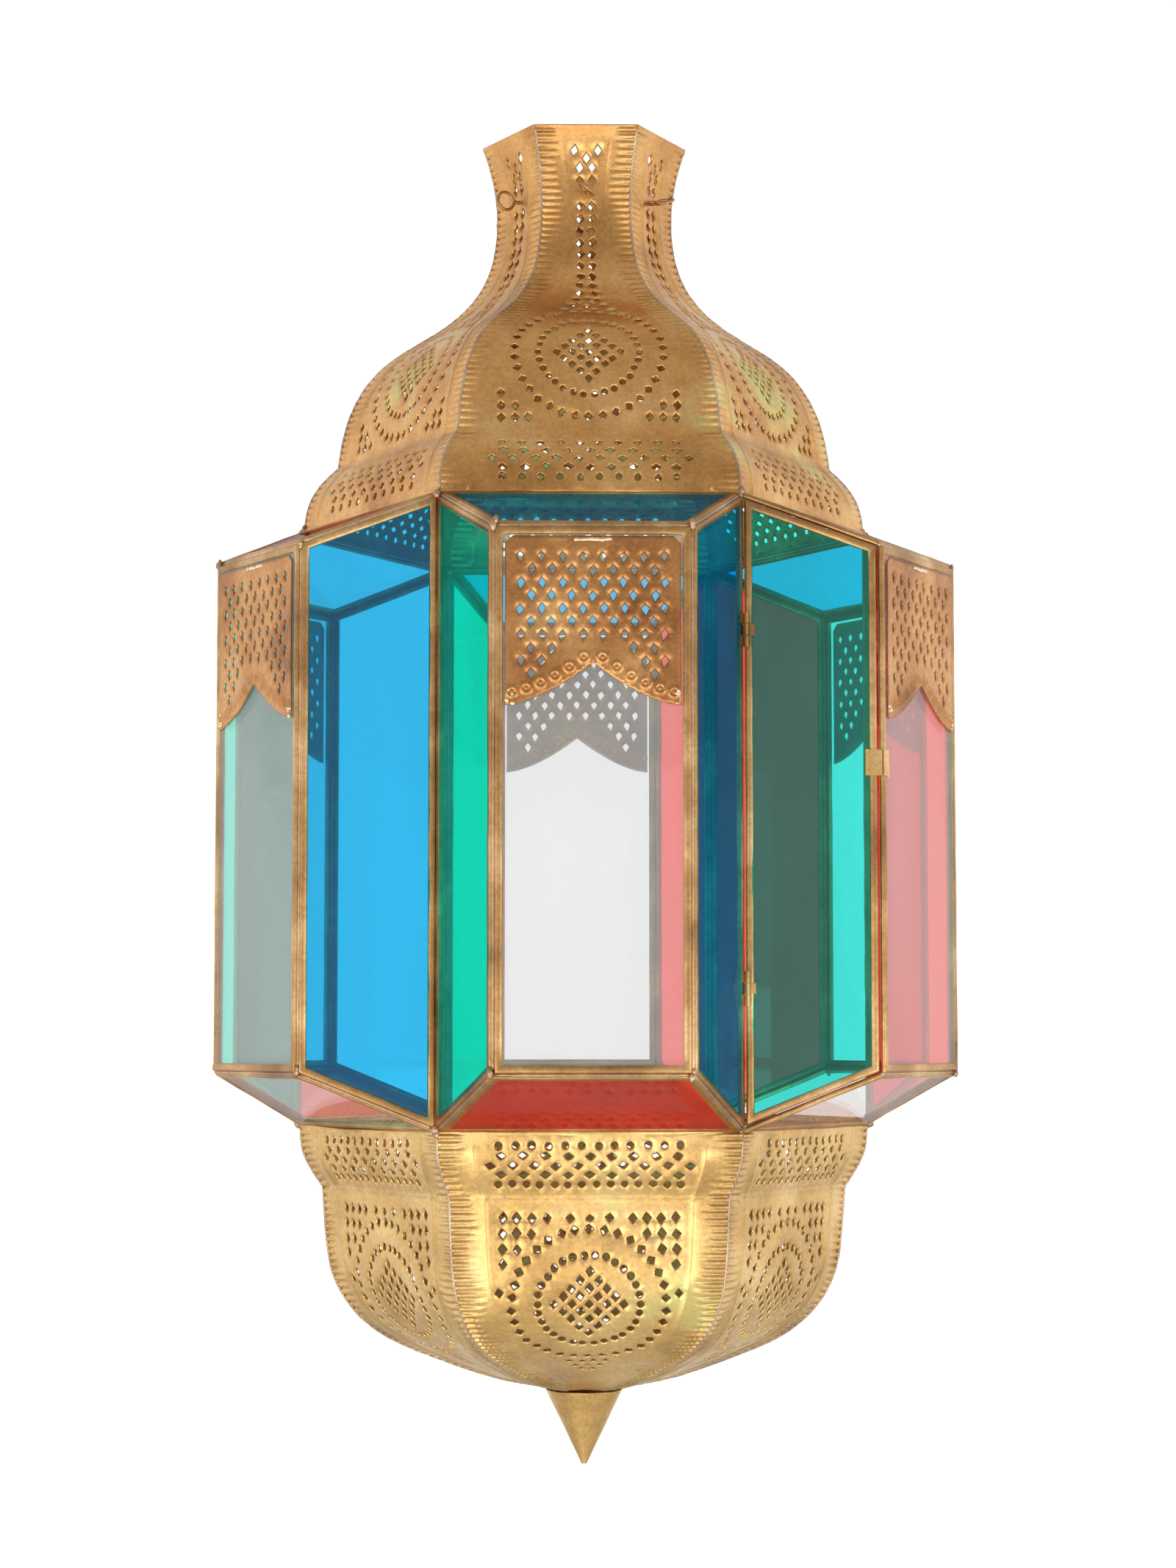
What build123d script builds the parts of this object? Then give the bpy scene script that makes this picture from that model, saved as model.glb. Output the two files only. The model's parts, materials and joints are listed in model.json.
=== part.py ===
from build123d import *
import os
from math import cos, radians, sin

# A hanging star lantern. The origin is the tip of the finial, on the lantern's axis. +Z is up, -Y is the
# front and +X the right. The body between dome and bowl is a hexagon with corners at +X and -X, and each of
# its six sides stands out as a glazed bay. Bay 1 is at the front, and the rest follow anticlockwise as seen
# from above.

# ---- driving dimensions, in millimetres ----
BAYS = 6
CORNER_R = 141.0  # hexagon corner of the glazed body, of the dome's hem and of the bowl's top
BAY_OUT = 180.5  # axis to the middle plane of a front pane
BAY_WIDTH = 88.8  # width of a front pane over its channels
RIM_Z = 660.0  # top of the neck
HEM_Z = 462.0  # bottom of the dome's skirt, where the roof panes start
PANE_TOP_Z = 438.0
PANE_BOTTOM_Z = 193.0
BAND_Z = 167.0  # top of the bowl, where the sill panes end

SHEET = 0.7  # brass sheet of the dome and bowl
SEAM_GAP = 0.05  # from a gore's edge to the plane of its seam
GLASS = 2.0
GLASS_PLAY = 0.04  # between the glass and its channel
CAME_FACE = 3.6  # width of a channel's face
CAME_THICK = 2.6
CAME_WEB = 0.6
EDGE_GAP = 1.2  # from a channel's back to the line where two panes' planes meet
DOOR_GAP = 1.9  # the same round the door, which needs room to swing

PLATE_THICK = 0.5  # arch plates
PLATE_PLAY = 0.3  # between an arch plate and the channels beside it
PLATE_OFF = 0.05  # between an arch plate and the glass behind it
ARCH_SIDE = 76.0  # height of an arch plate at its sides
ARCH_APEX = 57.0  # height of the plate above the arch's point
ARCH_BEND = (16.0, 68.0)  # a place on each half of the arch: out from the middle, and down from the top
PLATE_CLIP = 3.5  # cut corners at the top
KITE_WIDE = 3.4  # holes in the arch plates
KITE_TALL = 4.9
KITE_PITCH = 9.2
KITE_ROW_PITCH = 5.85
KITE_COLUMNS = 8  # in every other full row; the rows between have one fewer
KITE_ROWS = 7
KITE_SIDE_ROWS = ((2, 3), (3, 4), (3, 3))  # first and last hole, from the middle, of the rows beside the arch
KITE_MARGIN = 9.0  # top of the plate to the first row

PIN_R = 0.7  # door hinges
KNUCKLE_R = 1.5
KNUCKLE_BORE_R = 0.76
KNUCKLE_LEN = 5.0
KNUCKLE_GAP = 0.4
HINGE_OUT = 4.0  # the valley's line to the hinge line
HINGE_ZS = (232.0, 398.0)  # middles of the two hinges
LEAF_THICK = 1.0
LEAF_REACH = 6.2  # from the valley's line along the pane

CLASP_Z = 336.0
CLASP_TALL = 12.0
CLASP_THICK = 0.5
CLASP_OFF = 2.0  # middle of the clasp's strip to the pane's plane
CLASP_REACH = 7.4  # over the door, from the bay's corner
CLASP_BASE = 4.8  # over the front pane's channel
CLASP_FOLD = 0.5  # half the slot at the fold

HOOK_Z = 627.0
NECK_FLAT = 38.2  # axis to the neck's face at the height of the hooks
HOOK_HOLE_R = 1.7
SHANK_R = 1.3
WIRE_R = 0.75
EYE_R = 4.5  # middle of the eye's wire
EYE_OUT = 7.8  # the neck's face to the middle of the eye
TAIL_IN = 2.2  # the neck's face to the middle of the tail inside it
TAIL_LEN = 7.0
HOOK_TURNS = (-45.0, 22.0, 60.0, 35.0, -30.0, 90.0)  # how far each eye is turned from lying flat

CONE_TOP_Z = 35.0
CONE_R = 18.4
CONE_TIP_R = 1.2
CONE_SHEET = 0.8

# Outlines of the sheets over a hexagon corner, as radius and height, from the top down.
DOME_OUTLINE = (
    (51.2, RIM_Z),
    (45.2, 637.0),
    (44.2, 615.0),
    (50.6, 589.0),
    (70.6, 567.0),
    (103.0, 545.0),
    (120.0, 516.0),
    (124.0, 495.0),
)
SKIRT_OUTLINE = ((124.0, 495.0), (132.7, 486.3), (139.2, 474.0), (CORNER_R, HEM_Z))
BAND_OUTLINE = ((CORNER_R, BAND_Z), (139.6, 154.0), (134.0, 142.5), (129.6, 136.0))
BOWL_OUTLINE = (
    (129.6, 136.0),
    (128.0, 115.0),
    (123.4, 91.0),
    (105.7, 68.0),
    (76.0, 53.2),
    (40.0, 41.5),
    (14.0, 36.5),
)

# ---- derived sizes and directions ----
HALF_STEP = 180 / BAYS
FLAT = cos(radians(HALF_STEP))  # a hexagon's flat over its corner radius
FLAT_R = CORNER_R * FLAT
HALF_SIDE = CORNER_R * sin(radians(HALF_STEP))
HALF_BAY = BAY_WIDTH / 2
UP = Vector(0, 0, 1)
DOOR_BAY = 2
COLOURS = {  # the fixed side panes, as bay and side
    "green": ((1, "left"), (6, "left"), (4, "right")),
    "blue": ((1, "right"), (6, "right")),
    "red": ((2, "right"), (3, "left"), (3, "right"), (4, "left"), (5, "right")),
    "pale": ((5, "left"),),
}

os.makedirs("parts", exist_ok=True)


def write(part, name):
    part.label = name
    export_step(part, f"parts/{name}.step")


def towards(angle):
    """The level direction at an angle from +X, in degrees."""
    return Vector(cos(radians(angle)), sin(radians(angle)), 0)


def facing(bay):
    """The angle that a bay faces."""
    return -90 + 2 * HALF_STEP * (bay - 1)


def in_bay(bay, right, out, height):
    """A point to the right of a bay's middle as seen from outside, out from the axis, and up."""
    return towards(facing(bay)) * out + towards(facing(bay) + 90) * right + UP * height


# ---- panes and their channels ----


def pane_corners(bay, pane):
    """The corners of a pane's plane as seen from outside, anticlockwise from the lower left."""
    near, far = (HALF_BAY, BAY_OUT), (HALF_SIDE, FLAT_R)
    low_near, high_near = (*near, PANE_BOTTOM_Z), (*near, PANE_TOP_Z)
    low_far, high_far = (*far, BAND_Z), (*far, HEM_Z)
    corners = {
        "front": ((-1, low_near), (1, low_near), (1, high_near), (-1, high_near)),
        "left": ((-1, low_far), (-1, low_near), (-1, high_near), (-1, high_far)),
        "right": ((1, low_near), (1, low_far), (1, high_far), (1, high_near)),
        "roof": ((-1, high_near), (1, high_near), (1, high_far), (-1, high_far)),
        "sill": ((-1, low_far), (1, low_far), (1, low_near), (-1, low_near)),
    }
    return [in_bay(bay, side * right, out, height) for side, (right, out, height) in corners[pane]]


def pane_plane(bay, pane):
    """The middle plane of a pane, with x level to the right and z pointing outwards."""
    low_left, low_right, _, high_left = pane_corners(bay, pane)
    across = low_right - low_left
    level = Vector(across.X, across.Y, 0)
    return Plane(origin=low_left, x_dir=level, z_dir=across.cross(high_left - low_left))


def pane_face(bay, pane, inset):
    """A pane's outline with every side moved in, on the pane's middle plane."""
    plane = pane_plane(bay, pane)
    corners = [plane.to_local_coords(corner) for corner in pane_corners(bay, pane)]
    with BuildSketch(plane, mode=Mode.PRIVATE) as outline:
        with BuildLine():
            Polyline([(corner.X, corner.Y) for corner in corners], close=True)
        make_face()
        offset(amount=-inset, kind=Kind.INTERSECTION, mode=Mode.REPLACE)
    return outline.sketch


def add_glass(bay, pane, gap=EDGE_GAP):
    extrude(pane_face(bay, pane, gap + CAME_WEB + GLASS_PLAY), amount=GLASS / 2, both=True)


def add_channel(bay, pane, gap=EDGE_GAP):
    """A frame of folded channel: a ring with a groove round its inside that holds the glass."""
    groove = GLASS / 2 + GLASS_PLAY
    extrude(pane_face(bay, pane, gap), amount=CAME_THICK / 2, both=True)
    extrude(pane_face(bay, pane, gap + CAME_WEB), amount=groove, both=True, mode=Mode.SUBTRACT)
    extrude(pane_face(bay, pane, gap + CAME_FACE), amount=CAME_THICK, both=True, mode=Mode.SUBTRACT)


for bay in range(1, BAYS + 1):
    for pane, name in (("front", "window_glass"), ("roof", "roof_glass"), ("sill", "sill_glass")):
        with BuildPart() as glass:
            add_glass(bay, pane)
        write(glass.part, f"{name}_{bay}")

for colour, panes in COLOURS.items():
    with BuildPart() as side_glass:
        for bay, side in panes:
            add_glass(bay, side)
    write(side_glass.part, f"side_glass_{colour}")

for bay in range(1, BAYS + 1):
    with BuildPart() as channels:
        for pane in ("front", "roof", "sill", "left", "right"):
            if (bay, pane) != (DOOR_BAY, "left"):
                add_channel(bay, pane)
    write(channels.part, f"bay_came_{bay}")


# ---- arch plates ----

PLATE_INSET = EDGE_GAP + CAME_FACE + PLATE_PLAY
PLATE_HALF = HALF_BAY - PLATE_INSET
PLATE_TOP = PANE_TOP_Z - PLATE_INSET


KITE = ((0, -0.6 * KITE_TALL), (KITE_WIDE / 2, 0), (0, 0.4 * KITE_TALL), (-KITE_WIDE / 2, 0))


def kite_places():
    """The middles of the kite-shaped holes, in staggered rows, and below them those beside the arch."""
    places = []
    for row in range(KITE_ROWS):
        count = KITE_COLUMNS - row % 2
        drop = KITE_MARGIN + row * KITE_ROW_PITCH
        places += [((k - (count - 1) / 2) * KITE_PITCH, -drop) for k in range(count)]
    for row, (first, last) in enumerate(KITE_SIDE_ROWS):
        drop = KITE_MARGIN + (KITE_ROWS + row) * KITE_ROW_PITCH
        stagger = 0.5 * (row % 2)
        for k in range(first, last + 1):
            places += [(side * (k - stagger) * KITE_PITCH, -drop) for side in (-1, 1)]
    return places


for bay in range(1, BAYS + 1):
    plate_plane = Plane(
        origin=in_bay(bay, 0, BAY_OUT + GLASS / 2 + PLATE_OFF, PLATE_TOP),
        x_dir=towards(facing(bay) + 90),
        z_dir=towards(facing(bay)),
    )
    with BuildPart() as plate:
        with BuildSketch(plate_plane):
            with BuildLine():
                Polyline(
                    (-PLATE_HALF, -ARCH_SIDE),
                    (-PLATE_HALF, -PLATE_CLIP),
                    (-PLATE_HALF + PLATE_CLIP, 0),
                    (PLATE_HALF - PLATE_CLIP, 0),
                    (PLATE_HALF, -PLATE_CLIP),
                    (PLATE_HALF, -ARCH_SIDE),
                )
                for side in (-1, 1):
                    bend = (side * ARCH_BEND[0], -ARCH_BEND[1])
                    ThreePointArc((side * PLATE_HALF, -ARCH_SIDE), bend, (0, -ARCH_APEX))
            make_face()
            with Locations(kite_places()):
                Polygon(KITE, align=None, mode=Mode.SUBTRACT)
        extrude(amount=PLATE_THICK)
    write(plate.part, f"arch_plate_{bay}")


# ---- dome, bowl and finial ----


def build_gore(bay, upper, lower, shift):
    """One flat's sheet, drawn straight across the flat and cut off at its seams. Its section is two curves
    that meet at a crease, and the same curves moved in by the sheet's thickness."""
    across = towards(facing(bay) + 90)
    curves = [[(radius * FLAT, height) for radius, height in outline] for outline in (upper, lower)]
    moved = [[(out + shift[0], height + shift[1]) for out, height in curve] for curve in curves]
    with BuildSketch(Plane(origin=(0, 0, 0), x_dir=towards(facing(bay)), z_dir=across * -1)) as section:
        with BuildLine():
            for curve in curves + moved:
                Spline(curve)
            Line(curves[0][0], moved[0][0])
            Line(curves[1][-1], moved[1][-1])
        make_face()
    extrude(section.sketch, amount=CORNER_R, both=True)
    for side in (-1, 1):
        inwards = towards(facing(bay) + side * (90 - HALF_STEP))
        split(bisect_by=Plane(origin=inwards * SEAM_GAP, z_dir=inwards), keep=Keep.TOP)


for bay in range(1, BAYS + 1):
    with BuildPart() as dome_gore:
        build_gore(bay, DOME_OUTLINE, SKIRT_OUTLINE, (-SHEET, -SHEET))
        hook_hole = Plane(origin=in_bay(bay, 0, NECK_FLAT, HOOK_Z), z_dir=towards(facing(bay)))
        with BuildSketch(hook_hole):
            Circle(HOOK_HOLE_R)
        extrude(amount=5 * SHEET, both=True, mode=Mode.SUBTRACT)
    write(dome_gore.part, f"dome_gore_{bay}")

    with BuildPart() as bowl_gore:
        build_gore(bay, BAND_OUTLINE, BOWL_OUTLINE, (-SHEET, SHEET))
    write(bowl_gore.part, f"bowl_gore_{bay}")

with BuildPart() as finial_cone:
    with BuildSketch(Plane.XZ):
        with BuildLine():
            Polyline(
                (0, 0),
                (CONE_TIP_R, 0),
                (CONE_R, CONE_TOP_Z),
                (CONE_R - CONE_SHEET, CONE_TOP_Z),
                (0, 3 * CONE_SHEET),
                close=True,
            )
        make_face()
    revolve(axis=Axis.Z)
write(finial_cone.part, "finial_cone")


# ---- door, hinges and latch ----

valley = in_bay(DOOR_BAY, -HALF_SIDE, FLAT_R, 0)
hinge_line = valley + towards(facing(DOOR_BAY) - HALF_STEP) * HINGE_OUT


def hinge_circle(radius, height):
    """A circle on the hinge line."""
    with BuildSketch(Plane((hinge_line.X, hinge_line.Y, height)), mode=Mode.PRIVATE) as disc:
        Circle(radius)
    return disc.sketch


def add_knuckle(bay, side, low, high):
    """A hinge knuckle with its leaf on the face of a side pane's channel, from one height to another."""
    plane = pane_plane(bay, side)
    along = plane.x_dir if side == "left" else plane.x_dir * -1
    leaf_plane = Plane(origin=valley + UP * low, x_dir=along, z_dir=UP)
    outwards = 1 if (leaf_plane.y_dir.dot(plane.z_dir) > 0) else -1
    with BuildSketch(leaf_plane) as leaf:
        with Locations((LEAF_REACH / 2 + HINGE_OUT / 4, outwards * (CAME_THICK + LEAF_THICK) / 2)):
            Rectangle(LEAF_REACH - HINGE_OUT / 2, LEAF_THICK)
    extrude(leaf.sketch, amount=high - low)
    extrude(hinge_circle(KNUCKLE_R, low), amount=high - low)
    extrude(hinge_circle(KNUCKLE_BORE_R, low), amount=high - low, mode=Mode.SUBTRACT)


with BuildPart() as door_glass:
    add_glass(DOOR_BAY, "left", DOOR_GAP)
write(door_glass.part, "door_glass")

with BuildPart() as door_came:
    add_channel(DOOR_BAY, "left", DOOR_GAP)
    for middle in HINGE_ZS:
        add_knuckle(DOOR_BAY, "left", middle - KNUCKLE_LEN / 2, middle + KNUCKLE_LEN / 2)
write(door_came.part, "door_came")

with BuildPart() as door_hinge:
    for middle in HINGE_ZS:
        reach = KNUCKLE_LEN / 2 + KNUCKLE_GAP
        add_knuckle(DOOR_BAY - 1, "right", middle + reach, middle + reach + KNUCKLE_LEN)
        add_knuckle(DOOR_BAY - 1, "right", middle - reach - KNUCKLE_LEN, middle - reach)
write(door_hinge.part, "door_hinge")

with BuildPart() as door_pins:
    for middle in HINGE_ZS:
        reach = 1.5 * KNUCKLE_LEN + 2 * KNUCKLE_GAP
        extrude(hinge_circle(PIN_R, middle - reach), amount=2 * reach)
write(door_pins.part, "door_pins")

bay_corner = in_bay(DOOR_BAY, -HALF_BAY, BAY_OUT, 0)
door_plane = pane_plane(DOOR_BAY, "left")
front_plane = pane_plane(DOOR_BAY, "front")
fold_tilt = (door_plane.z_dir + front_plane.z_dir).normalized()
fold_line = bay_corner + fold_tilt * (CLASP_OFF / fold_tilt.dot(front_plane.z_dir))
fold_past = (fold_line - bay_corner).dot(front_plane.x_dir) * -1  # how far the fold lies past the corner


def add_strip(origin, direction, start, end, off, thick):
    """An upright strip, from start to end along a direction, with its middle off to the direction's right."""
    base = Plane(origin=origin + UP * (CLASP_Z - CLASP_TALL / 2), x_dir=direction, z_dir=UP)
    with BuildSketch(base) as strip:
        with Locations(((start + end) / 2, off)):
            Rectangle(end - start, thick)
    extrude(strip.sketch, amount=CLASP_TALL)


with BuildPart() as latch_base:
    add_strip(fold_line, front_plane.x_dir, CLASP_FOLD, fold_past + CLASP_BASE, 0, CLASP_THICK)
    pad = CLASP_OFF - CAME_THICK / 2
    add_strip(fold_line, front_plane.x_dir, fold_past + EDGE_GAP, fold_past + CLASP_BASE, pad / 2, pad)
write(latch_base.part, "latch_base")

with BuildPart() as latch_clasp:
    add_strip(fold_line, door_plane.x_dir * -1, CLASP_FOLD, fold_past + CLASP_REACH, 0, CLASP_THICK)
write(latch_clasp.part, "latch_clasp")


# ---- wire eyes on the neck ----

for bay, turn in zip(range(1, BAYS + 1), HOOK_TURNS):
    out = towards(facing(bay))
    level = towards(facing(bay) + 90)
    across = level.rotate(Axis((0, 0, 0), out), turn)  # lies in the eye's plane
    eye_normal = out.cross(across)
    face = in_bay(bay, 0, NECK_FLAT, HOOK_Z)
    with BuildPart() as hook:
        with BuildSketch(Plane(origin=face - out * TAIL_IN, z_dir=out)):
            Circle(SHANK_R)
        extrude(amount=TAIL_IN + EYE_OUT - EYE_R + WIRE_R / 2)
        with BuildSketch(Plane(origin=face - out * TAIL_IN - across * (TAIL_LEN / 2), z_dir=across)):
            Circle(WIRE_R)
        extrude(amount=TAIL_LEN)
        with Locations(Plane(origin=face + out * EYE_OUT, x_dir=out, z_dir=eye_normal)):
            Torus(EYE_R, WIRE_R)
    write(hook.part, f"hook_{bay}")
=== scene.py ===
import json
import math
import random

import bpy
import numpy as np
from mathutils import Matrix, Vector, noise
from mathutils.geometry import delaunay_2d_cdt


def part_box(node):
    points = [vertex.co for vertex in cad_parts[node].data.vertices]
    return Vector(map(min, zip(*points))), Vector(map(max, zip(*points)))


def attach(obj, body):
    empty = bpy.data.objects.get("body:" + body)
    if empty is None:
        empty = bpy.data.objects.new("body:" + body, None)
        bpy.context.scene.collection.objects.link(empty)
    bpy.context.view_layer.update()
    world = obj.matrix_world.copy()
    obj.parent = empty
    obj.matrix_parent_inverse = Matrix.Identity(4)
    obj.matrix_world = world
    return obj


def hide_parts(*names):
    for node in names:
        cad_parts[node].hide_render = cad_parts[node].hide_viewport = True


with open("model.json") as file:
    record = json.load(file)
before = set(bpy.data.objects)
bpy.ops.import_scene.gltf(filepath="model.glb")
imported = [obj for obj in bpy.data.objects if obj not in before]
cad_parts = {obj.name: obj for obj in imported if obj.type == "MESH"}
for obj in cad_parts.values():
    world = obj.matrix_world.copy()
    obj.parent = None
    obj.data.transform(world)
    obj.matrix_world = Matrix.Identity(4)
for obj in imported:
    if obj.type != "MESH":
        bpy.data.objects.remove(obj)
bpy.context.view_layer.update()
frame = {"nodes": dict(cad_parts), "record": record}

# Everything is modelled in millimetres in bay 1's own frame, where x runs right, -y runs out and z up, and
# then turned to its bay. mesh_object() turns it into metres. The floor, lights and camera are in metres.
MM = 0.001
BAYS = range(1, 7)
FLAT = math.cos(math.radians(30))  # a hexagon's flat over its corner radius


def mm(value):
    return value / MM


# ---- sizes read from the frame ----
pane_low, pane_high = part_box("window_glass_1")
dome_low, dome_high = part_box("dome_gore_1")
bowl_low, bowl_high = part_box("bowl_gore_1")
cone_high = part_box("finial_cone")[1]
plate_low, plate_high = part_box("arch_plate_1")
SHEET = 0.7
EDGE_TO_GLASS = 1.84  # from the line where two panes' planes meet to the glass
RIM_Z = round(mm(dome_high.z), 1)
HEM_Z = round(mm(dome_low.z) + SHEET, 1)
BAND_Z = round(mm(bowl_high.z) - SHEET, 1)
BOWL_END_Z = round(mm(bowl_low.z), 1)
HALF_SIDE = round(mm(dome_high.x), 1)
CORNER_R = 2 * HALF_SIDE
FLAT_R = CORNER_R * FLAT
BAY_OUT = -mm(pane_low.y + pane_high.y) / 2
HALF_BAY = mm(pane_high.x) + EDGE_TO_GLASS
PANE_TOP_Z = mm(pane_high.z) + EDGE_TO_GLASS
PANE_BOTTOM_Z = mm(pane_low.z) - EDGE_TO_GLASS

rng = random.Random(7)


# ---- meshes ----


def mesh_object(name, points, faces, bay=1, smooth=True, crease=None):
    """A mesh from points in millimetres in bay 1's frame, turned to a bay."""
    turn = Matrix.Rotation(math.radians(60 * (bay - 1)), 3, "Z")
    points = np.asarray(points, float) @ np.array(turn).T * MM
    mesh = bpy.data.meshes.new(name)
    mesh.from_pydata(points.tolist(), [], [list(face) for face in faces])
    mesh.polygons.foreach_set("use_smooth", [smooth] * len(mesh.polygons))
    if crease:
        mesh.set_sharp_from_angle(angle=math.radians(crease))
    mesh.update()
    piece = bpy.data.objects.new(name, mesh)
    bpy.context.scene.collection.objects.link(piece)
    return piece


class Shape:
    """Gathers points and faces of several simple shapes for one mesh."""

    def __init__(self):
        self.points, self.faces = [], []

    def add(self, points, faces):
        start = len(self.points)
        self.points += [tuple(point) for point in points]
        self.faces += [[start + k for k in face] for face in faces]

    def tube(self, path, radii, sides=10, closed=False, squash=1.0, lift=(0, 0, 1)):
        """A round tube along a path of points, with a radius at each."""
        path = [Vector(point) for point in path]
        count = len(path)
        radii = [radii] * count if isinstance(radii, (int, float)) else radii
        points = []
        for k, point in enumerate(path):
            ahead = path[(k + 1) % count] if closed or k < count - 1 else point
            behind = path[k - 1] if closed or k > 0 else point
            along = (ahead - behind).normalized()
            side = along.cross(Vector(lift))
            if side.length < 0.05:
                side = along.cross(Vector((1, 0.3, 0)))
            side.normalize()
            other = along.cross(side)
            for s in range(sides):
                angle = 2 * math.pi * s / sides
                way = side * math.cos(angle) + other * math.sin(angle) * squash
                points.append(point + radii[k] * way)
        faces = []
        for k in range(count if closed else count - 1):
            near, far = k * sides, (k + 1) % count * sides
            for s in range(sides):
                after = (s + 1) % sides
                faces.append((near + s, near + after, far + after, far + s))
        if not closed:
            faces += [tuple(range(sides))[::-1], tuple((count - 1) * sides + s for s in range(sides))]
        self.add(points, faces)

    def blob(self, centre, size, stretch=(1, 1, 1), seed=0):
        """A lump of solder: a flattened ball with an uneven surface."""
        rings, sides = 6, 10
        points, faces = [], []
        for r in range(rings + 1):
            polar = math.pi * r / rings
            for s in range(sides):
                around = 2 * math.pi * s / sides
                level = math.sin(polar)
                way = Vector((level * math.cos(around), level * math.sin(around), math.cos(polar)))
                swell = 1 + 0.35 * noise.noise(way * 1.7 + Vector((seed, 0, 0)))
                off = [way[k] * size * swell * stretch[k] for k in range(3)]
                points.append(Vector(centre) + Vector(off))
        for r in range(rings):
            for s in range(sides):
                n = (s + 1) % sides
                faces.append((r * sides + s, (r + 1) * sides + s, (r + 1) * sides + n, r * sides + n))
        self.add(points, faces)

    def make(self, name, bay=1, crease=None):
        return mesh_object(name, self.points, self.faces, bay, crease=crease)


def wander(position, scale, seed):
    """Smooth unevenness between about -1 and 1 that hand-made work has."""
    return noise.noise(Vector(position) / scale + Vector((seed * 13.7, seed * 5.1, 0)))


# ---- pierced sheets ----

DIAMOND = [(0, -1), (0.52, -0.48), (1, 0), (0.52, 0.48), (0, 1), (-0.52, 0.48), (-1, 0), (-0.52, -0.48)]
KITE = [(0, -1.2), (0.52, -0.6), (1, 0), (0.52, 0.4), (0, 0.8), (-0.52, 0.4), (-1, 0), (-0.52, -0.6)]
ROUND = [(math.cos(math.pi * k / 6), math.sin(math.pi * k / 6)) for k in range(12)]


def hole(shape, x, v, half_wide, half_tall, turn=0.0, rim=1.6, depth=0.85):
    """A punched hole at x across and v up the flat sheet, with a dished rim out to rim times its size."""
    size = (half_wide, half_tall)
    return {"shape": shape, "x": x, "v": v, "size": size, "turn": turn, "rim": rim, "depth": depth}


def hole_ring(one, scale):
    cos, sin = math.cos(one["turn"]), math.sin(one["turn"])
    ring = []
    for a, b in one["shape"]:
        a, b = a * one["size"][0] * scale, b * one["size"][1] * scale
        ring.append((one["x"] + a * cos - b * sin, one["v"] + a * sin + b * cos))
    return ring


def pierced(boundary, holes, ground):
    """Triangles over a flat outline with holes in it. Returns points, triangles and how deep the punch
    pushed each point in."""
    points, edges, depths, owners = [], [], [], []

    def add_ring(ring, depth, owner):
        start = len(points)
        points.extend(ring)
        depths.extend([depth] * len(ring))
        owners.extend([owner] * len(ring))
        edges.extend((start + k, start + (k + 1) % len(ring)) for k in range(len(ring)))

    add_ring(boundary, 0.0, -1)
    for number, one in enumerate(holes):
        add_ring(hole_ring(one, 1.0), one["depth"], number)
        add_ring(hole_ring(one, (1 + one["rim"]) / 2), 0.35 * one["depth"], -1)
        add_ring(hole_ring(one, one["rim"]), 0.0, -1)
    ground = np.asarray(ground, float)
    centres = np.array([(one["x"], one["v"]) for one in holes])
    reach = np.array([max(one["size"]) * one["rim"] * 1.12 for one in holes])
    if len(holes):
        apart = np.linalg.norm(ground[:, None] - centres[None], axis=2)
        ground = ground[(apart > reach[None]).all(axis=1)]
    points.extend(map(tuple, ground))
    depths.extend([0.0] * len(ground))
    owners.extend([-1] * len(ground))
    found, _, triangles, sources, _, _ = delaunay_2d_cdt([Vector(p) for p in points], edges, [], 0, 1e-5)
    source = [ids[0] if ids else -1 for ids in sources]
    flat = np.array([tuple(p) for p in found])
    depth = np.array([depths[k] if k >= 0 else 0.0 for k in source])
    owner = np.array([owners[k] if k >= 0 else -1 for k in source])
    triangles = np.array(triangles)
    inside = owner[triangles]
    in_hole = (inside[:, 0] >= 0) & (inside[:, 0] == inside[:, 1]) & (inside[:, 1] == inside[:, 2])
    middle = flat[triangles].mean(axis=1)
    keep = ~in_hole & contains(np.array(boundary), middle)
    return flat, triangles[keep], depth


def contains(outline, places):
    """Which places lie inside a closed outline."""
    inside = np.zeros(len(places), bool)
    x, y = places[:, 0], places[:, 1]
    for (x1, y1), (x2, y2) in zip(outline, np.roll(outline, -1, axis=0)):
        if y1 == y2:
            continue
        crosses = (y1 > y) != (y2 > y)
        inside ^= crosses & (x < (x2 - x1) * (y - y1) / (y2 - y1) + x1)
    return inside


def natural_spline(knots, per_span=24):
    """Points along a smooth curve through the knots."""
    knots = np.array(knots, float)
    steps = np.linalg.norm(np.diff(knots, axis=0), axis=1)
    count = len(knots)
    system, bends = np.eye(count), np.zeros((count, 2))
    for k in range(1, count - 1):
        system[k, k - 1 : k + 2] = steps[k - 1], 2 * (steps[k - 1] + steps[k]), steps[k]
        bends[k] = 6 * ((knots[k + 1] - knots[k]) / steps[k] - (knots[k] - knots[k - 1]) / steps[k - 1])
    bends = np.linalg.solve(system, bends)
    curve = []
    for k in range(count - 1):
        h = steps[k]
        for t in np.linspace(0, h, per_span, endpoint=k == count - 2):
            left, right = h - t, t
            curve.append(
                (bends[k] * left**3 + bends[k + 1] * right**3) / (6 * h)
                + (knots[k] / h - bends[k] * h / 6) * left
                + (knots[k + 1] / h - bends[k + 1] * h / 6) * right
            )
    return np.array(curve)


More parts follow.
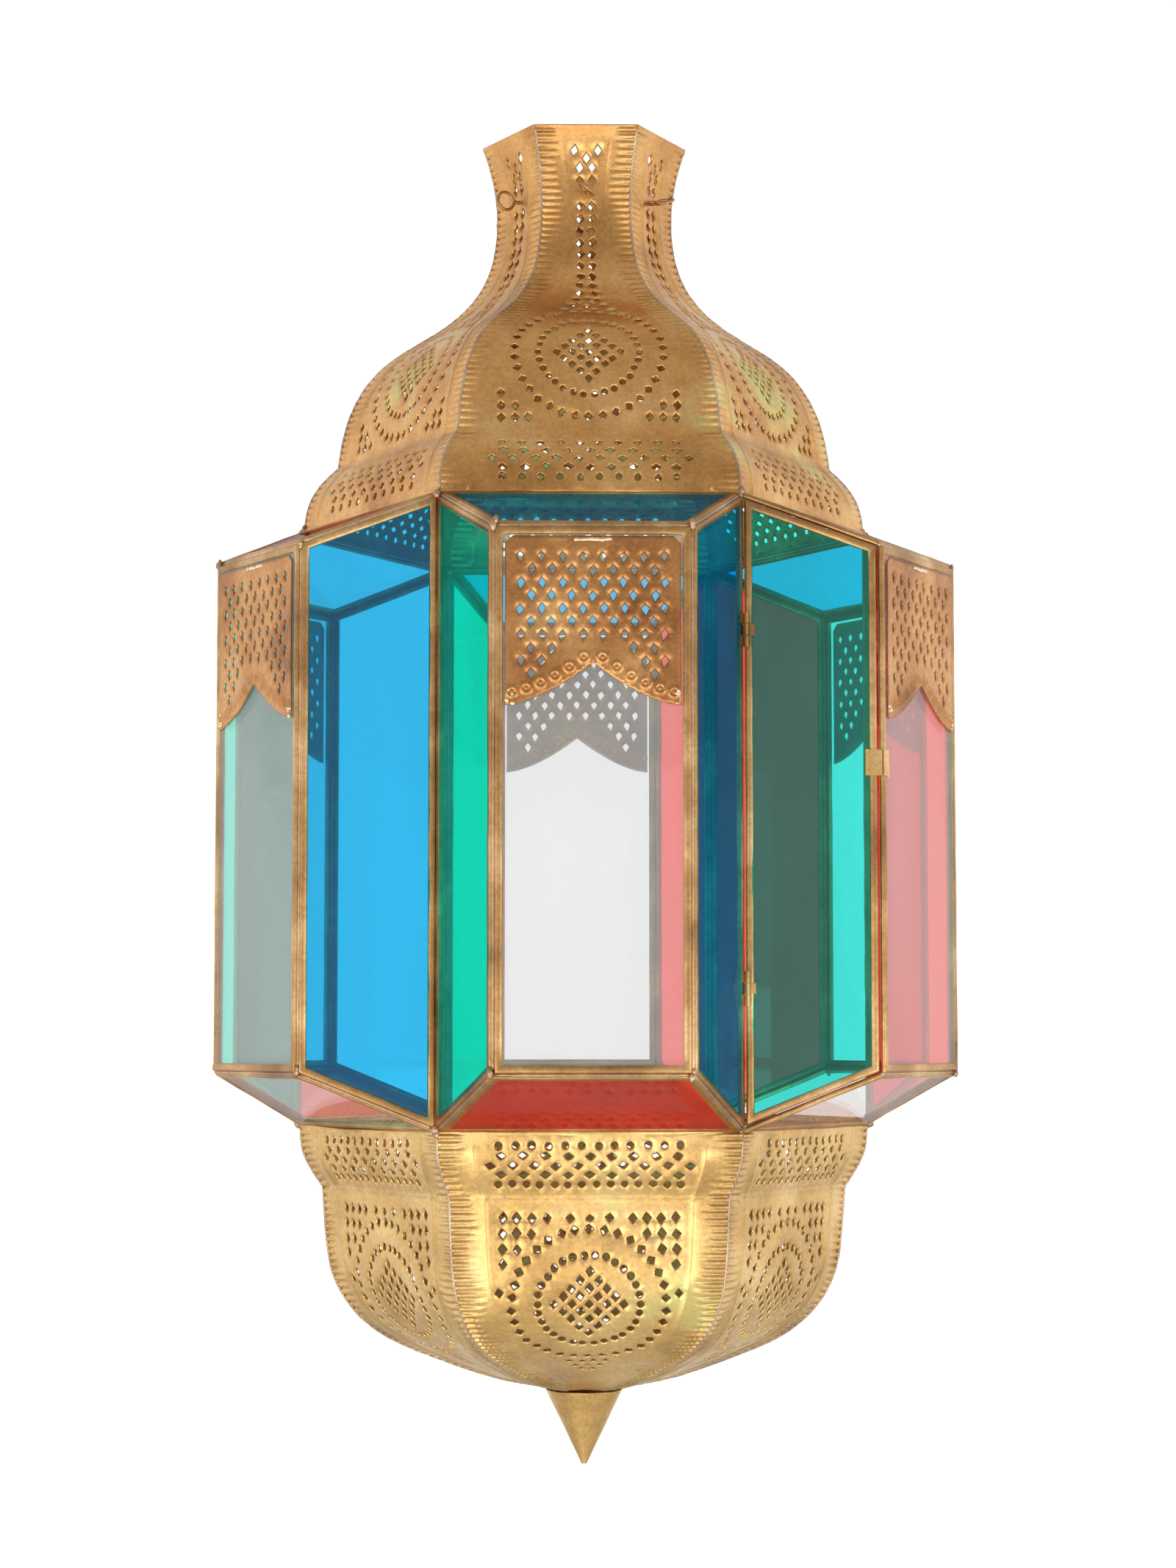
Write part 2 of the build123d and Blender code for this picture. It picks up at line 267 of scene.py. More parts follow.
class Profile:
    """A gore's section over its flat, by the distance down the sheet from its top."""

    def __init__(self, upper, lower):
        upper, lower = natural_spline(upper), natural_spline(lower)
        corner = np.concatenate([upper, lower[1:]])
        self.radius, self.height = corner[:, 0], corner[:, 1]
        self.out = self.radius * FLAT
        line = np.stack([self.out, self.height], axis=1)
        self.down = np.concatenate([[0], np.cumsum(np.linalg.norm(np.diff(line, axis=0), axis=1))])
        self.length = self.down[-1]
        self.crease = self.down[len(upper) - 1]
        along = np.gradient(line, axis=0)
        along /= np.linalg.norm(along, axis=1)[:, None]
        self.normal = np.stack([-along[:, 1], along[:, 0]], axis=1)

    def half_width(self, down):
        return np.interp(down, self.down, self.radius) / 2

    def place(self, x, down, proud):
        """The point at x across and down the sheet, lifted off its surface by proud."""
        out = np.interp(down, self.down, self.out)
        height = np.interp(down, self.down, self.height)
        n_out = np.interp(down, self.down, self.normal[:, 0])
        n_up = np.interp(down, self.down, self.normal[:, 1])
        return np.stack([x, -(out + n_out * proud), height + n_up * proud], axis=1)


DOME = Profile(
    [(51.2, RIM_Z), (45.2, 637), (44.2, 615), (50.6, 589), (70.6, 567), (103, 545), (120, 516), (124, 495)],
    [(124, 495), (132.7, 486.3), (139.2, 474), (CORNER_R, HEM_Z)],
)
BOWL = Profile(
    [(CORNER_R, BAND_Z), (139.6, 154), (134, 142.5), (129.6, 136)],
    [(129.6, 136), (128, 115), (123.4, 91), (105.7, 68), (76, 53.2), (40, 41.5), (14, BOWL_END_Z + SHEET)],
)

PLEAT_PITCH = 3.4
PLEAT_REACH = 10.5
RIM_FOLD = 3.2
GORE_THICK = 0.6


def rows(counts, middle_down, row_pitch, pitch, shape, half_wide, half_tall, **more):
    """Staggered rows of holes, each centred, about a middle row."""
    made = []
    for row, count in enumerate(counts):
        down = middle_down + (row - (len(counts) - 1) / 2) * row_pitch
        for k in range(count):
            made.append(hole(shape, (k - (count - 1) / 2) * pitch, -down, half_wide, half_tall, **more))
    return made


def medallion(down, outer_r, inner_r, outer_count, inner_count, step, size):
    """Two rings of holes round a lattice of diamonds."""
    made = []
    for k in range(outer_count):
        angle = 2 * math.pi * (k + 0.5) / outer_count
        x, v = outer_r * math.cos(angle), outer_r * math.sin(angle) - down
        made.append(hole(DIAMOND, x, v, size, 1.1 * size, turn=angle - math.pi / 2))
    for k in range(inner_count):
        angle = 2 * math.pi * k / inner_count
        x, v = inner_r * math.cos(angle), inner_r * math.sin(angle) - down
        made.append(hole(ROUND, x, v, 0.78 * size, 0.78 * size))
    for i in range(-2, 3):
        for j in range(-2, 3):
            made.append(hole(DIAMOND, (i - j) * step, (i + j) * step - down, size, 1.25 * size, rim=1.45))
    return made


def corner_cluster(down, edge, counts, pitch, row_pitch, size):
    """Rows of diamonds on both sides, with their outer ends in line."""
    made = []
    for row, count in enumerate(counts):
        for k in range(count):
            x, v = edge - k * pitch, -(down + row * row_pitch)
            made += [hole(DIAMOND, side * x, v, size, 1.2 * size) for side in (-1, 1)]
    return made


def neck_columns(first, last, pitch, size):
    """Two columns of diamonds down the neck, which part and meet the medallion's shoulders."""
    made = []
    for down in np.arange(first, last, pitch):
        out = 2.9 + 0.0135 * max(0.0, down - 85.0) ** 2
        made += [hole(DIAMOND, side * out, -down, size, 1.35 * size) for side in (-1, 1)]
    return made


def band(middle_down, spread, circles_above, diamonds, circles_below, size):
    """A straight band: three staggered rows of wide diamonds between two rows of circles."""
    made = rows(diamonds, middle_down, 0.49 * spread, 10.2, DIAMOND, 1.25 * size, 0.9 * size)
    for count, down in ((circles_above, middle_down - spread), (circles_below, middle_down + spread)):
        made += rows((count,), down, 0, 91.0 / count, ROUND, 0.82 * size, 0.82 * size)
    return made


DOME_MEDALLION = DOME.crease - 42.0
DOME_HOLES = medallion(DOME_MEDALLION, 35.4, 24.0, 34, 30, 3.8, 1.75)
DOME_HOLES += corner_cluster(DOME.crease - 6.5, 41.5, (3, 2, 1), 6.3, -6.0, 1.75)
DOME_HOLES += neck_columns(21.0, 30.0, 6.6, 1.85) + neck_columns(40.0, 118.0, 6.4, 1.85)
DOME_HOLES += rows((2, 1), 14.5, 3.6, 11.0, DIAMOND, 1.8, 2.4)
DOME_HOLES += rows((1, 2, 1, 2), 103.0, 4.4, 7.0, DIAMOND, 1.3, 1.5)
DOME_HOLES += band(DOME.crease + 19.0, 9.8, 10, (9, 10, 9), 10, 1.7)

BOWL_MEDALLION = BOWL.crease + 50.5
BOWL_HOLES = medallion(BOWL_MEDALLION, 36.0, 24.0, 34, 30, 4.05, 1.85)
BOWL_HOLES += corner_cluster(BOWL.crease + 9.5, 40.0, (4, 3, 2, 1), 6.7, 7.2, 1.85)
BOWL_HOLES += rows((3,), BOWL.crease + 9.5, 0, 9.2, DIAMOND, 1.9, 1.7)
BOWL_HOLES += corner_cluster(BOWL_MEDALLION - 6.0, 41.5, (1,), 0, 0, 1.7)
BOWL_HOLES += band(16.6, 9.6, 12, (9, 10, 9), 14, 1.8)
BOWL_HOLES += rows((4, 3, 2), BOWL_MEDALLION + 47.5, 5.6, 5.6, DIAMOND, 1.4, 1.8)


def by_hand(holes, seed):
    """The same holes as a hand with a punch would place them: each a little off, turned and resized."""
    hand = random.Random(seed)
    placed = []
    for one in holes:
        moved = dict(one)
        moved["x"] += hand.uniform(-0.4, 0.4)
        moved["v"] += hand.uniform(-0.35, 0.35)
        moved["turn"] += hand.uniform(-0.2, 0.2)
        moved["size"] = tuple(size * hand.uniform(0.92, 1.08) for size in one["size"])
        placed.append(moved)
    return placed


def gore(name, profile, holes, bay, pleats, border_inset):
    """A curved sheet of one flat, pierced, pleated along both seams, with embossed borders, a ridge along
    its crease and small dents."""
    downs = np.linspace(0, profile.length, int(profile.length / 0.62))
    edge = profile.half_width(downs)
    left = [(-w, -d) for w, d in zip(edge, downs)]
    right = [(w, -d) for w, d in zip(edge, downs)]
    ground = []
    for d, w in zip(downs[1:-1], edge[1:-1]):
        ground += [(side * (w - inset), -d) for inset in (1.0, 2.4, 4.2, 6.4, 9.0) for side in (-1, 1)]
    for d in np.arange(2.4, profile.length, 2.4):
        w = float(profile.half_width(d))
        for off in (-1.5, -0.6, 0, 0.6, 1.5):
            ground += [(side * (w - border_inset - off), -d) for side in (-1, 1)]
        middle = w - border_inset - 3
        if middle > 2:
            ground += [(x, -d) for x in np.linspace(-middle, middle, max(2, int(middle / 1.5)))]
    for off in (-1.6, -0.8, 0, 0.8, 1.6):
        half = float(profile.half_width(profile.crease + off)) - 11
        ground += [(x, -profile.crease - off) for x in np.arange(-half, half, 2.0)]
    flat, triangles, punched = pierced(left + right[::-1], by_hand(holes, name), ground)
    x, down = flat[:, 0], -flat[:, 1]
    from_seam = profile.half_width(down) - np.abs(x)
    side_shift = np.where(x > 0, 1.3, 0.0) + bay
    phase = 2 * math.pi * down / PLEAT_PITCH + side_shift + 1.4 * np.sin(down / 9.0 + bay)
    waves = np.sin(phase) + 0.35 * np.sin(2 * phase + 0.9)
    reach = PLEAT_REACH * (1 + 0.18 * np.sin(down / 6.0 + side_shift))
    fade = np.clip(1 - from_seam / reach, 0, 1) ** 0.7
    proud = -punched + np.interp(down, *pleats) * waves * fade * np.clip(from_seam / 1.0, 0.45, 1)
    proud += 0.5 * np.exp(-(((from_seam - border_inset) / 0.9) ** 2)) * np.clip((down - 6) / 6, 0, 1)
    inside = from_seam > PLEAT_REACH
    proud += 0.5 * np.exp(-(((down - profile.crease) / 0.9) ** 2)) * inside
    proud += 0.5 * (down < RIM_FOLD)
    proud += 0.35 * (profile.length - down < 2.2)
    dents = [wander((a, 0, b), 26.0, bay) + 0.5 * wander((a, 5, b), 9.0, bay) for a, b in zip(x, down)]
    proud += 0.6 * np.array(dents) * np.clip(from_seam / 8, 0, 1)
    piece = mesh_object(name, profile.place(x, down, proud), triangles, bay)
    shell = piece.modifiers.new("sheet", "SOLIDIFY")
    shell.thickness = GORE_THICK * MM
    shell.offset = -1
    return piece


# ---- panes: channels, plates and seams ----

NEAR, FAR = (HALF_BAY, BAY_OUT), (HALF_SIDE, FLAT_R)


def pane_corners(pane):
    """The corners of a pane's middle plane, anticlockwise from the lower left as seen from outside."""
    low_near, high_near = (*NEAR, PANE_BOTTOM_Z), (*NEAR, PANE_TOP_Z)
    low_far, high_far = (*FAR, BAND_Z), (*FAR, HEM_Z)
    corners = {
        "front": ((-1, low_near), (1, low_near), (1, high_near), (-1, high_near)),
        "left": ((-1, low_far), (-1, low_near), (-1, high_near), (-1, high_far)),
        "right": ((1, low_near), (1, low_far), (1, high_far), (1, high_near)),
        "roof": ((-1, high_near), (1, high_near), (1, high_far), (-1, high_far)),
        "sill": ((-1, low_far), (1, low_far), (1, low_near), (-1, low_near)),
    }
    return [Vector((side * right, -out, height)) for side, (right, out, height) in corners[pane]]


def pane_axes(pane):
    corners = pane_corners(pane)
    across = corners[1] - corners[0]
    outward = across.cross(corners[3] - corners[0]).normalized()
    level = Vector((across.x, across.y, 0)).normalized()
    return corners[0], level, outward.cross(level), outward


def inset_outline(corners, distance):
    """A convex flat outline with each side moved in."""
    count = len(corners)
    lines = []
    for k in range(count):
        a, b = corners[k], corners[(k + 1) % count]
        along = (b - a).normalized()
        lines.append((a + Vector((-along.y, along.x)) * distance, along))
    moved = []
    for k in range(count):
        (p, r), (q, s) = lines[k - 1], lines[k]
        cross = r.x * s.y - r.y * s.x
        moved.append(p + r * ((q - p).x * s.y - (q - p).y * s.x) / cross)
    return moved


CAME_FACE = 3.7
CAME_HALF = 1.45  # half its thickness


def came_section():
    """Round-backed folded strip: distance in from its back, and height off the pane's plane."""
    section = []
    for k in range(9):
        angle = math.pi * (0.5 + k / 8)
        section.append((1.15 + 1.15 * math.cos(angle), CAME_HALF * math.sin(angle)))
    lips = [(2.6, -0.92 * CAME_HALF), (3.4, -0.8 * CAME_HALF)]
    lips += [(CAME_FACE, -0.62 * CAME_HALF), (CAME_FACE, -0.5)]
    return section + lips + [(depth, -height) for depth, height in reversed(lips)]


def add_came(shape, pane, gap, seed):
    """A mitred frame of folded strip round a pane, slightly uneven along its length."""
    origin, level, upward, outward = pane_axes(pane)
    corners = [Vector(((c - origin).dot(level), (c - origin).dot(upward))) for c in pane_corners(pane)]
    section = came_section()
    outlines = [inset_outline(corners, gap + depth) for depth, _ in section]
    points, stations = [], 0
    for side in range(4):
        length = (corners[(side + 1) % 4] - corners[side]).length
        steps = max(2, int(length / 7))
        for step in range(steps):
            t = step / steps
            sway = min(1.0, 6 * t * (1 - t) + 0.05)
            for (depth, height), outline in zip(section, outlines):
                spot = outline[side].lerp(outline[(side + 1) % 4], t)
                place = origin + level * spot.x + upward * spot.y + outward * height
                drift = sway * 0.22 * wander(place, 22.0, seed + side)
                swell = 1 + 0.10 * wander(place, 6.0, seed + 9)
                off_plane = outward * (drift + height * (swell - 1))
                points.append(place + off_plane + (level + upward) * drift * 0.4)
            stations += 1
    width = len(section)
    faces = []
    for k in range(stations):
        near, far = k * width, (k + 1) % stations * width
        for s in range(width):
            after = (s + 1) % width
            faces.append((near + s, far + s, far + after, near + after))
    shape.add(points, faces)


def seam_path(start, end, seed, spacing=6.0, sway=0.25):
    """Points along a seam that wander a little."""
    start, end = Vector(start), Vector(end)
    steps = max(2, int((end - start).length / spacing))
    path = []
    for k in range(steps + 1):
        spot = start.lerp(end, k / steps)
        shift = Vector((wander(spot, 15.0, seed), wander(spot, 15.0, seed + 3), 0)) * sway
        path.append(spot + shift)
    return path


def inward(point, distance):
    """A point moved towards the lantern's axis."""
    level = Vector((point.x, point.y, 0)).normalized()
    return point - level * distance


DOOR_BAY = 2
SEAM_R = 1.0


def bay_seams(bay):
    """Solder run along the joints between a bay's channels, with lumps where they meet."""
    shape = Shape()
    front, roof, sill = pane_corners("front"), pane_corners("roof"), pane_corners("sill")
    runs = [
        (front[1], front[2]),
        (front[0], front[1]),
        (front[2], front[3]),
        (roof[1], roof[2]),
        (roof[2], roof[3]),
        (sill[0], sill[1]),
        (sill[1], sill[2]),
    ]
    if bay != DOOR_BAY:
        runs += [(front[3], front[0]), (roof[3], roof[0]), (sill[3], sill[0])]
    for number, (a, b) in enumerate(runs):
        path = seam_path(inward(a, 0.9), inward(b, 0.9), bay * 20 + number)
        radii = [SEAM_R * (1 + 0.25 * wander(p, 5.0, bay + number)) for p in path]
        shape.tube(path, radii, sides=8)
    lumps = [front[1], front[2], roof[2], sill[1]]
    if bay != DOOR_BAY:
        lumps += [front[0], front[3]]
    for number, spot in enumerate(lumps):
        for extra in range(2):
            off = Vector((rng.uniform(-1.2, 1.2), 0, rng.uniform(-2.5, 2.5)))
            size = rng.uniform(1.0, 1.7)
            stretch = (1, 0.8, rng.uniform(1.0, 1.9))
            shape.blob(spot + off, size, stretch, bay * 31 + number + extra)
    return shape.make(f"bay_seams_{bay}", bay)


def valley_seam(bay):
    """Solder down the valley to the right of a bay."""
    shape = Shape()
    spot = Vector((FAR[0], -FAR[1], 0))
    outward = Vector((math.sin(math.radians(30)), -math.cos(math.radians(30)), 0))
    foot, top = spot + outward * 0.4, spot + outward * 0.4
    foot.z, top.z = BAND_Z + 1, HEM_Z - 1
    path = seam_path(foot, top, bay + 70)
    shape.tube(path, [0.9 * (1 + 0.3 * wander(p, 5.0, bay)) for p in path], sides=8)
    for end, lift in ((foot, -0.5), (top, 0.5)):
        shape.blob(end + outward * 0.8 + Vector((0, 0, lift)), 2.0, (1, 1, 1.3), bay + 3)
    return shape.make(f"valley_seam_{bay}", bay)


PLATE_HALF = mm(plate_high.x)
PLATE_TOP = mm(plate_high.z)
PLATE_SIDE = PLATE_TOP - mm(plate_low.z)
ARCH_APEX = 57.0
PLATE_CLIP = 3.5
KITE_PITCH = 9.2
KITE_ROW_PITCH = 5.85
KITE_MARGIN = 9.0
RING_STEP = 6.4
RING_R = 2.15
PLATE_THICK = 0.45
PLATE_OUT = 1.95  # from the front pane's middle plane to the plate's face


def arch_height(x):
    """How far down the arch plate reaches at x: steep by the point and flatter at the sides."""
    t = min(1.0, abs(x) / PLATE_HALF)
    return ARCH_APEX + (PLATE_SIDE - ARCH_APEX) * (1 - (1 - t) ** 1.6)


def kite_holes():
    """Seven staggered rows of kites across the plate, then three short rows on each side of the arch."""
    places = []
    for row in range(7):
        count = 8 - row % 2
        places += [((k - (count - 1) / 2) * KITE_PITCH, row) for k in range(count)]
    for row, steps in ((7, (2, 3)), (8, (2.5, 3.5)), (9, (3,))):
        places += [(side * step * KITE_PITCH, row) for step in steps for side in (-1, 1)]
    return [hole(KITE, x, -(KITE_MARGIN + row * KITE_ROW_PITCH), 1.7, 2.4, rim=1.38) for x, row in places]


def arch_plate(bay):
    """The pierced plate over a front pane, with kite-shaped holes and stamped rings along its arch."""
    arch = [(x, -arch_height(x)) for x in np.linspace(-PLATE_HALF, PLATE_HALF, 61)]
    top = [(PLATE_HALF, -PLATE_CLIP), (PLATE_HALF - PLATE_CLIP, 0), (PLATE_CLIP - PLATE_HALF, 0)]
    boundary = arch + top + [(-PLATE_HALF, -PLATE_CLIP)]
    ground = []
    for z in np.arange(1.5, PLATE_SIDE, 1.5):
        across = np.arange(-PLATE_HALF + 1, PLATE_HALF, 1.5)
        ground += [(x, -z) for x in across if z < arch_height(x) - 0.5]
    rings = []
    for k in range(6):
        for side in (-1, 1):
            x = side * (4.2 + RING_STEP * k)
            rings.append((x, 5.6 - arch_height(x)))
    for cx, cz in rings:
        for radius in (0.0, 0.6, 1.2, 1.7, RING_R, 2.6, 3.1):
            for k in range(14 if radius else 1):
                angle = math.pi * k / 7
                ground.append((cx + radius * math.cos(angle), cz + radius * math.sin(angle)))
    flat, triangles, punched = pierced(boundary, by_hand(kite_holes(), bay), ground)
    x, v = flat[:, 0], flat[:, 1]
    proud = -punched
    for cx, cz in rings:
        r = np.hypot(x - cx, v - cz)
        proud += 0.5 * np.exp(-(((r - RING_R) / 0.5) ** 2)) + 0.4 * np.exp(-((r / 0.55) ** 2))
    proud += 0.25 * np.array([wander((a, 0, b), 17.0, bay + 40) for a, b in zip(x, v)])
    out = BAY_OUT + PLATE_OUT + proud
    points = np.stack([x, -out, PLATE_TOP + v], axis=1)
    piece = mesh_object(f"arch_plate_sheet_{bay}", points, triangles, bay)
    shell = piece.modifiers.new("sheet", "SOLIDIFY")
    shell.thickness = PLATE_THICK * MM
    shell.offset = -1
    return piece


def plate_solder(bay):
    """Bright solder on an arch plate: a bar at its top, and splashes at its lower corners."""
    shape = Shape()
    front = -(BAY_OUT + 2.1)
    for k in range(7):
        x = (k - 3) * 2.3 + rng.uniform(-0.4, 0.4)
        z = PLATE_TOP - 1.6 + rng.uniform(-0.2, 0.2)
        shape.blob((x, front, z), 1.15, (1.5, 0.45, 0.8), bay * 9 + k)
    for side in (-1, 1):
        for k in range(5):
            x = side * (PLATE_HALF - 0.4 - rng.uniform(0, 3.0))
            z = PLATE_TOP - PLATE_SIDE + rng.uniform(0.5, 8.0)
            shape.blob((x, front, z), rng.uniform(0.5, 1.1), (1.1, 0.5, 1.0), bay * 5 + k)
    return shape.make(f"plate_solder_{bay}", bay)


# ---- materials ----


def new_material(name):
    material = bpy.data.materials.new(name)
    material.use_nodes = True
    nodes, links = material.node_tree.nodes, material.node_tree.links
    nodes.clear()
    output = nodes.new("ShaderNodeOutputMaterial")
    return material, nodes, links, output


def noise_node(nodes, links, scale, detail=4.0, roughness=0.55, stretch=(1, 1, 1)):
    """A noise pattern in the object's own coordinates, with scale in patterns per metre."""
    place = nodes.new("ShaderNodeTexCoord")
    mapping = nodes.new("ShaderNodeMapping")
    mapping.inputs["Scale"].default_value = stretch
    texture = nodes.new("ShaderNodeTexNoise")
    texture.inputs["Scale"].default_value = scale
    texture.inputs["Detail"].default_value = detail
    texture.inputs["Roughness"].default_value = roughness
    links.new(place.outputs["Object"], mapping.inputs["Vector"])
    links.new(mapping.outputs["Vector"], texture.inputs["Vector"])
    return texture.outputs["Fac"]


def ramp(nodes, links, factor, stops):
    """A colour ramp over a factor, from (place, colour) stops."""
    node = nodes.new("ShaderNodeValToRGB")
    bar = node.color_ramp
    for k, (place, colour) in enumerate(stops):
        stop = bar.elements[k] if k < 2 else bar.elements.new(place)
        stop.position = place
        stop.color = (*colour, 1.0)
    links.new(factor, node.inputs["Fac"])
    return node.outputs["Color"]


def mix(nodes, links, factor, a, b, kind="MIX"):
    node = nodes.new("ShaderNodeMix")
    node.data_type = "RGBA"
    node.blend_type = kind
    for value, socket in ((factor, node.inputs[0]), (a, node.inputs[6]), (b, node.inputs[7])):
        if isinstance(value, (int, float)):
            socket.default_value = value
        elif isinstance(value, tuple):
            socket.default_value = (*value, 1.0)
        else:
            links.new(value, socket)
    return node.outputs[2]


def grey(value):
    return (value, value, value)


def brass(name, dark, middle, light, patina=0.0, rough=(0.30, 0.44), bump=0.3):
    """Aged brass: its colour drifts in broad clouds and fine specks, over a fine sandy grain. With patina
    it also has green patches and a few dark dots."""
    material, nodes, links, output = new_material(name)
    shader = nodes.new("ShaderNodeBsdfPrincipled")
    shader.inputs["Metallic"].default_value = 1.0
    clouds = noise_node(nodes, links, 22.0, 6.0, 0.62)
    specks = noise_node(nodes, links, 520.0, 4.0, 0.7)
    colour = ramp(nodes, links, clouds, [(0.32, dark), (0.68, light), (0.5, middle)])
    stain = ramp(nodes, links, specks, [(0.30, grey(0.74)), (0.62, grey(1.0))])
    colour = mix(nodes, links, 1.0, colour, stain, "MULTIPLY")
    if patina:
        patches = noise_node(nodes, links, 11.0, 5.0, 0.6)
        where = ramp(nodes, links, patches, [(0.60, grey(0.0)), (0.68, grey(patina))])
        colour = mix(nodes, links, where, colour, (0.56, 0.62, 0.20))
        place = nodes.new("ShaderNodeTexCoord")
        dots = nodes.new("ShaderNodeTexVoronoi")
        dots.inputs["Scale"].default_value = 22.0
        links.new(place.outputs["Object"], dots.inputs["Vector"])
        where = ramp(nodes, links, dots.outputs["Distance"], [(0.020, grey(0.75)), (0.040, grey(0.0))])
        colour = mix(nodes, links, where, colour, (0.26, 0.11, 0.10))
    links.new(colour, shader.inputs["Base Color"])
    wear = noise_node(nodes, links, 60.0, 5.0, 0.7)
    dull = ramp(nodes, links, wear, [(0.3, grey(rough[0])), (0.7, grey(rough[1]))])
    links.new(dull, shader.inputs["Roughness"])
    grain = nodes.new("ShaderNodeBump")
    grain.inputs["Strength"].default_value = bump
    grain.inputs["Distance"].default_value = 0.0003
    links.new(noise_node(nodes, links, 900.0, 3.0, 0.6), grain.inputs["Height"])
    links.new(grain.outputs["Normal"], shader.inputs["Normal"])
    links.new(shader.outputs["BSDF"], output.inputs["Surface"])
    return material


SHEEN = 0.04  # share of light that a face of glass mirrors straight on


def glass(name, through, paint, veil, streak=0.08, gloss=0.3):
    """Flat painted glass, given as the light that a whole pane lets through, the colour of its paint, the
    share of light that the paint and dust on each face scatter, and how much of a clean pane's mirror sheen
    is left at a slant. There are faint brush streaks and specks in the colour."""
    material, nodes, links, output = new_material(name)
    streaks = noise_node(nodes, links, 26.0, 5.0, 0.65, stretch=(1, 1, 0.3))
    specks = noise_node(nodes, links, 240.0, 2.0, 0.5)
    kept = (1 - veil) * (1 - SHEEN)
    face = tuple(min(1.0, math.sqrt(share) / kept) for share in through)
    shade = ramp(nodes, links, streaks, [(0.25, grey(1 - streak)), (0.75, grey(1.0))])
    tint = mix(nodes, links, 1.0, face, shade, "MULTIPLY")
    straight = nodes.new("ShaderNodeBsdfTransparent")
    links.new(tint, straight.inputs["Color"])
    front, back = nodes.new("ShaderNodeBsdfDiffuse"), nodes.new("ShaderNodeBsdfTranslucent")
    scattered = nodes.new("ShaderNodeMixShader")
    scattered.inputs[0].default_value = 0.5
    for number, coat in enumerate((front, back)):
        coat.inputs["Color"].default_value = (*paint, 1.0)
        links.new(coat.outputs[0], scattered.inputs[1 + number])
    share = ramp(nodes, links, streaks, [(0.3, grey(veil * 0.8)), (0.8, grey(veil * 1.2))])
    dots = ramp(nodes, links, specks, [(0.16, grey(0.35)), (0.21, grey(0.0))])
    share = mix(nodes, links, 1.0, share, dots, "LIGHTEN")
    cloudy = nodes.new("ShaderNodeMixShader")
    links.new(share, cloudy.inputs[0])
    links.new(straight.outputs[0], cloudy.inputs[1])
    links.new(scattered.outputs[0], cloudy.inputs[2])
    sheen = nodes.new("ShaderNodeBsdfGlossy")
    sheen.inputs["Roughness"].default_value = 0.03
    slant = nodes.new("ShaderNodeLayerWeight")
    slant.inputs["Blend"].default_value = 0.5
    power, mirror = nodes.new("ShaderNodeMath"), nodes.new("ShaderNodeMath")
    power.operation = "POWER"
    power.inputs[1].default_value = 4.3
    mirror.operation = "MULTIPLY_ADD"
    mirror.inputs[1].default_value = gloss
    mirror.inputs[2].default_value = SHEEN
    links.new(slant.outputs["Facing"], power.inputs[0])
    links.new(power.outputs[0], mirror.inputs[0])
    surface = nodes.new("ShaderNodeMixShader")
    links.new(mirror.outputs[0], surface.inputs[0])
    links.new(cloudy.outputs[0], surface.inputs[1])
    links.new(sheen.outputs[0], surface.inputs[2])
    wave = nodes.new("ShaderNodeBump")
    wave.inputs["Strength"].default_value = 0.08
    wave.inputs["Distance"].default_value = 0.001
    links.new(noise_node(nodes, links, 14.0, 2.0, 0.5), wave.inputs["Height"])
    links.new(wave.outputs["Normal"], sheen.inputs["Normal"])
    links.new(surface.outputs[0], output.inputs["Surface"])
    return material


PATINA = 0.55  # how strongly the green patches show on the dome and bowl
BRASS = {
    "dome": brass("dome_brass", (0.52, 0.25, 0.08), (0.72, 0.38, 0.125), (0.84, 0.50, 0.20), PATINA),
    "bowl": brass("bowl_brass", (0.54, 0.32, 0.11), (0.73, 0.46, 0.17), (0.86, 0.60, 0.26), PATINA),
    "arch": brass("arch_brass", (0.34, 0.14, 0.05), (0.56, 0.26, 0.09), (0.74, 0.42, 0.17)),
    "came": brass("came_brass", (0.32, 0.16, 0.06), (0.52, 0.29, 0.11), (0.80, 0.52, 0.24)),
    "solder": brass("solder", (0.34, 0.20, 0.12), (0.58, 0.38, 0.22), (0.84, 0.60, 0.38), 0.0, (0.3, 0.5)),
    "seam": brass("seam_solder", (0.36, 0.26, 0.2), (0.56, 0.42, 0.3), (0.76, 0.62, 0.48), 0.0, (0.35, 0.6)),
    "bright": brass("bright_solder", (0.8, 0.55, 0.3), (0.95, 0.78, 0.5), (1.0, 0.9, 0.68), 0.0, (0.35, 0.5)),
    "wire": brass("wire_brass", (0.36, 0.18, 0.08), (0.56, 0.31, 0.14), (0.78, 0.50, 0.26)),
    "latch": brass("latch_brass", (0.58, 0.32, 0.11), (0.74, 0.44, 0.16), (0.86, 0.56, 0.24)),
}
GLASS = {
    "clear_glass": glass("clear_glass", (0.70, 0.71, 0.70), (0.92, 0.95, 0.94), 0.17, 0.02, gloss=0.5),
    "pale_glass": glass("pale_glass", (0.84, 0.93, 0.89), (0.88, 0.94, 0.92), 0.06, 0.02, gloss=0.4),
    "blue_glass": glass("blue_glass", (0.020, 0.42, 0.70), (0.005, 0.42, 0.85), 0.13, gloss=0.12),
    "green_glass": glass("green_glass", (0.050, 0.64, 0.50), (0.03, 0.80, 0.64), 0.16, gloss=0.2),
    "emerald_glass": glass("emerald_glass", (0.050, 0.92, 0.74), (0.01, 0.75, 0.60), 0.07, gloss=0.12),
    "red_glass": glass("red_glass", (0.98, 0.05, 0.04), (0.95, 0.10, 0.07), 0.09, gloss=0.2),
}


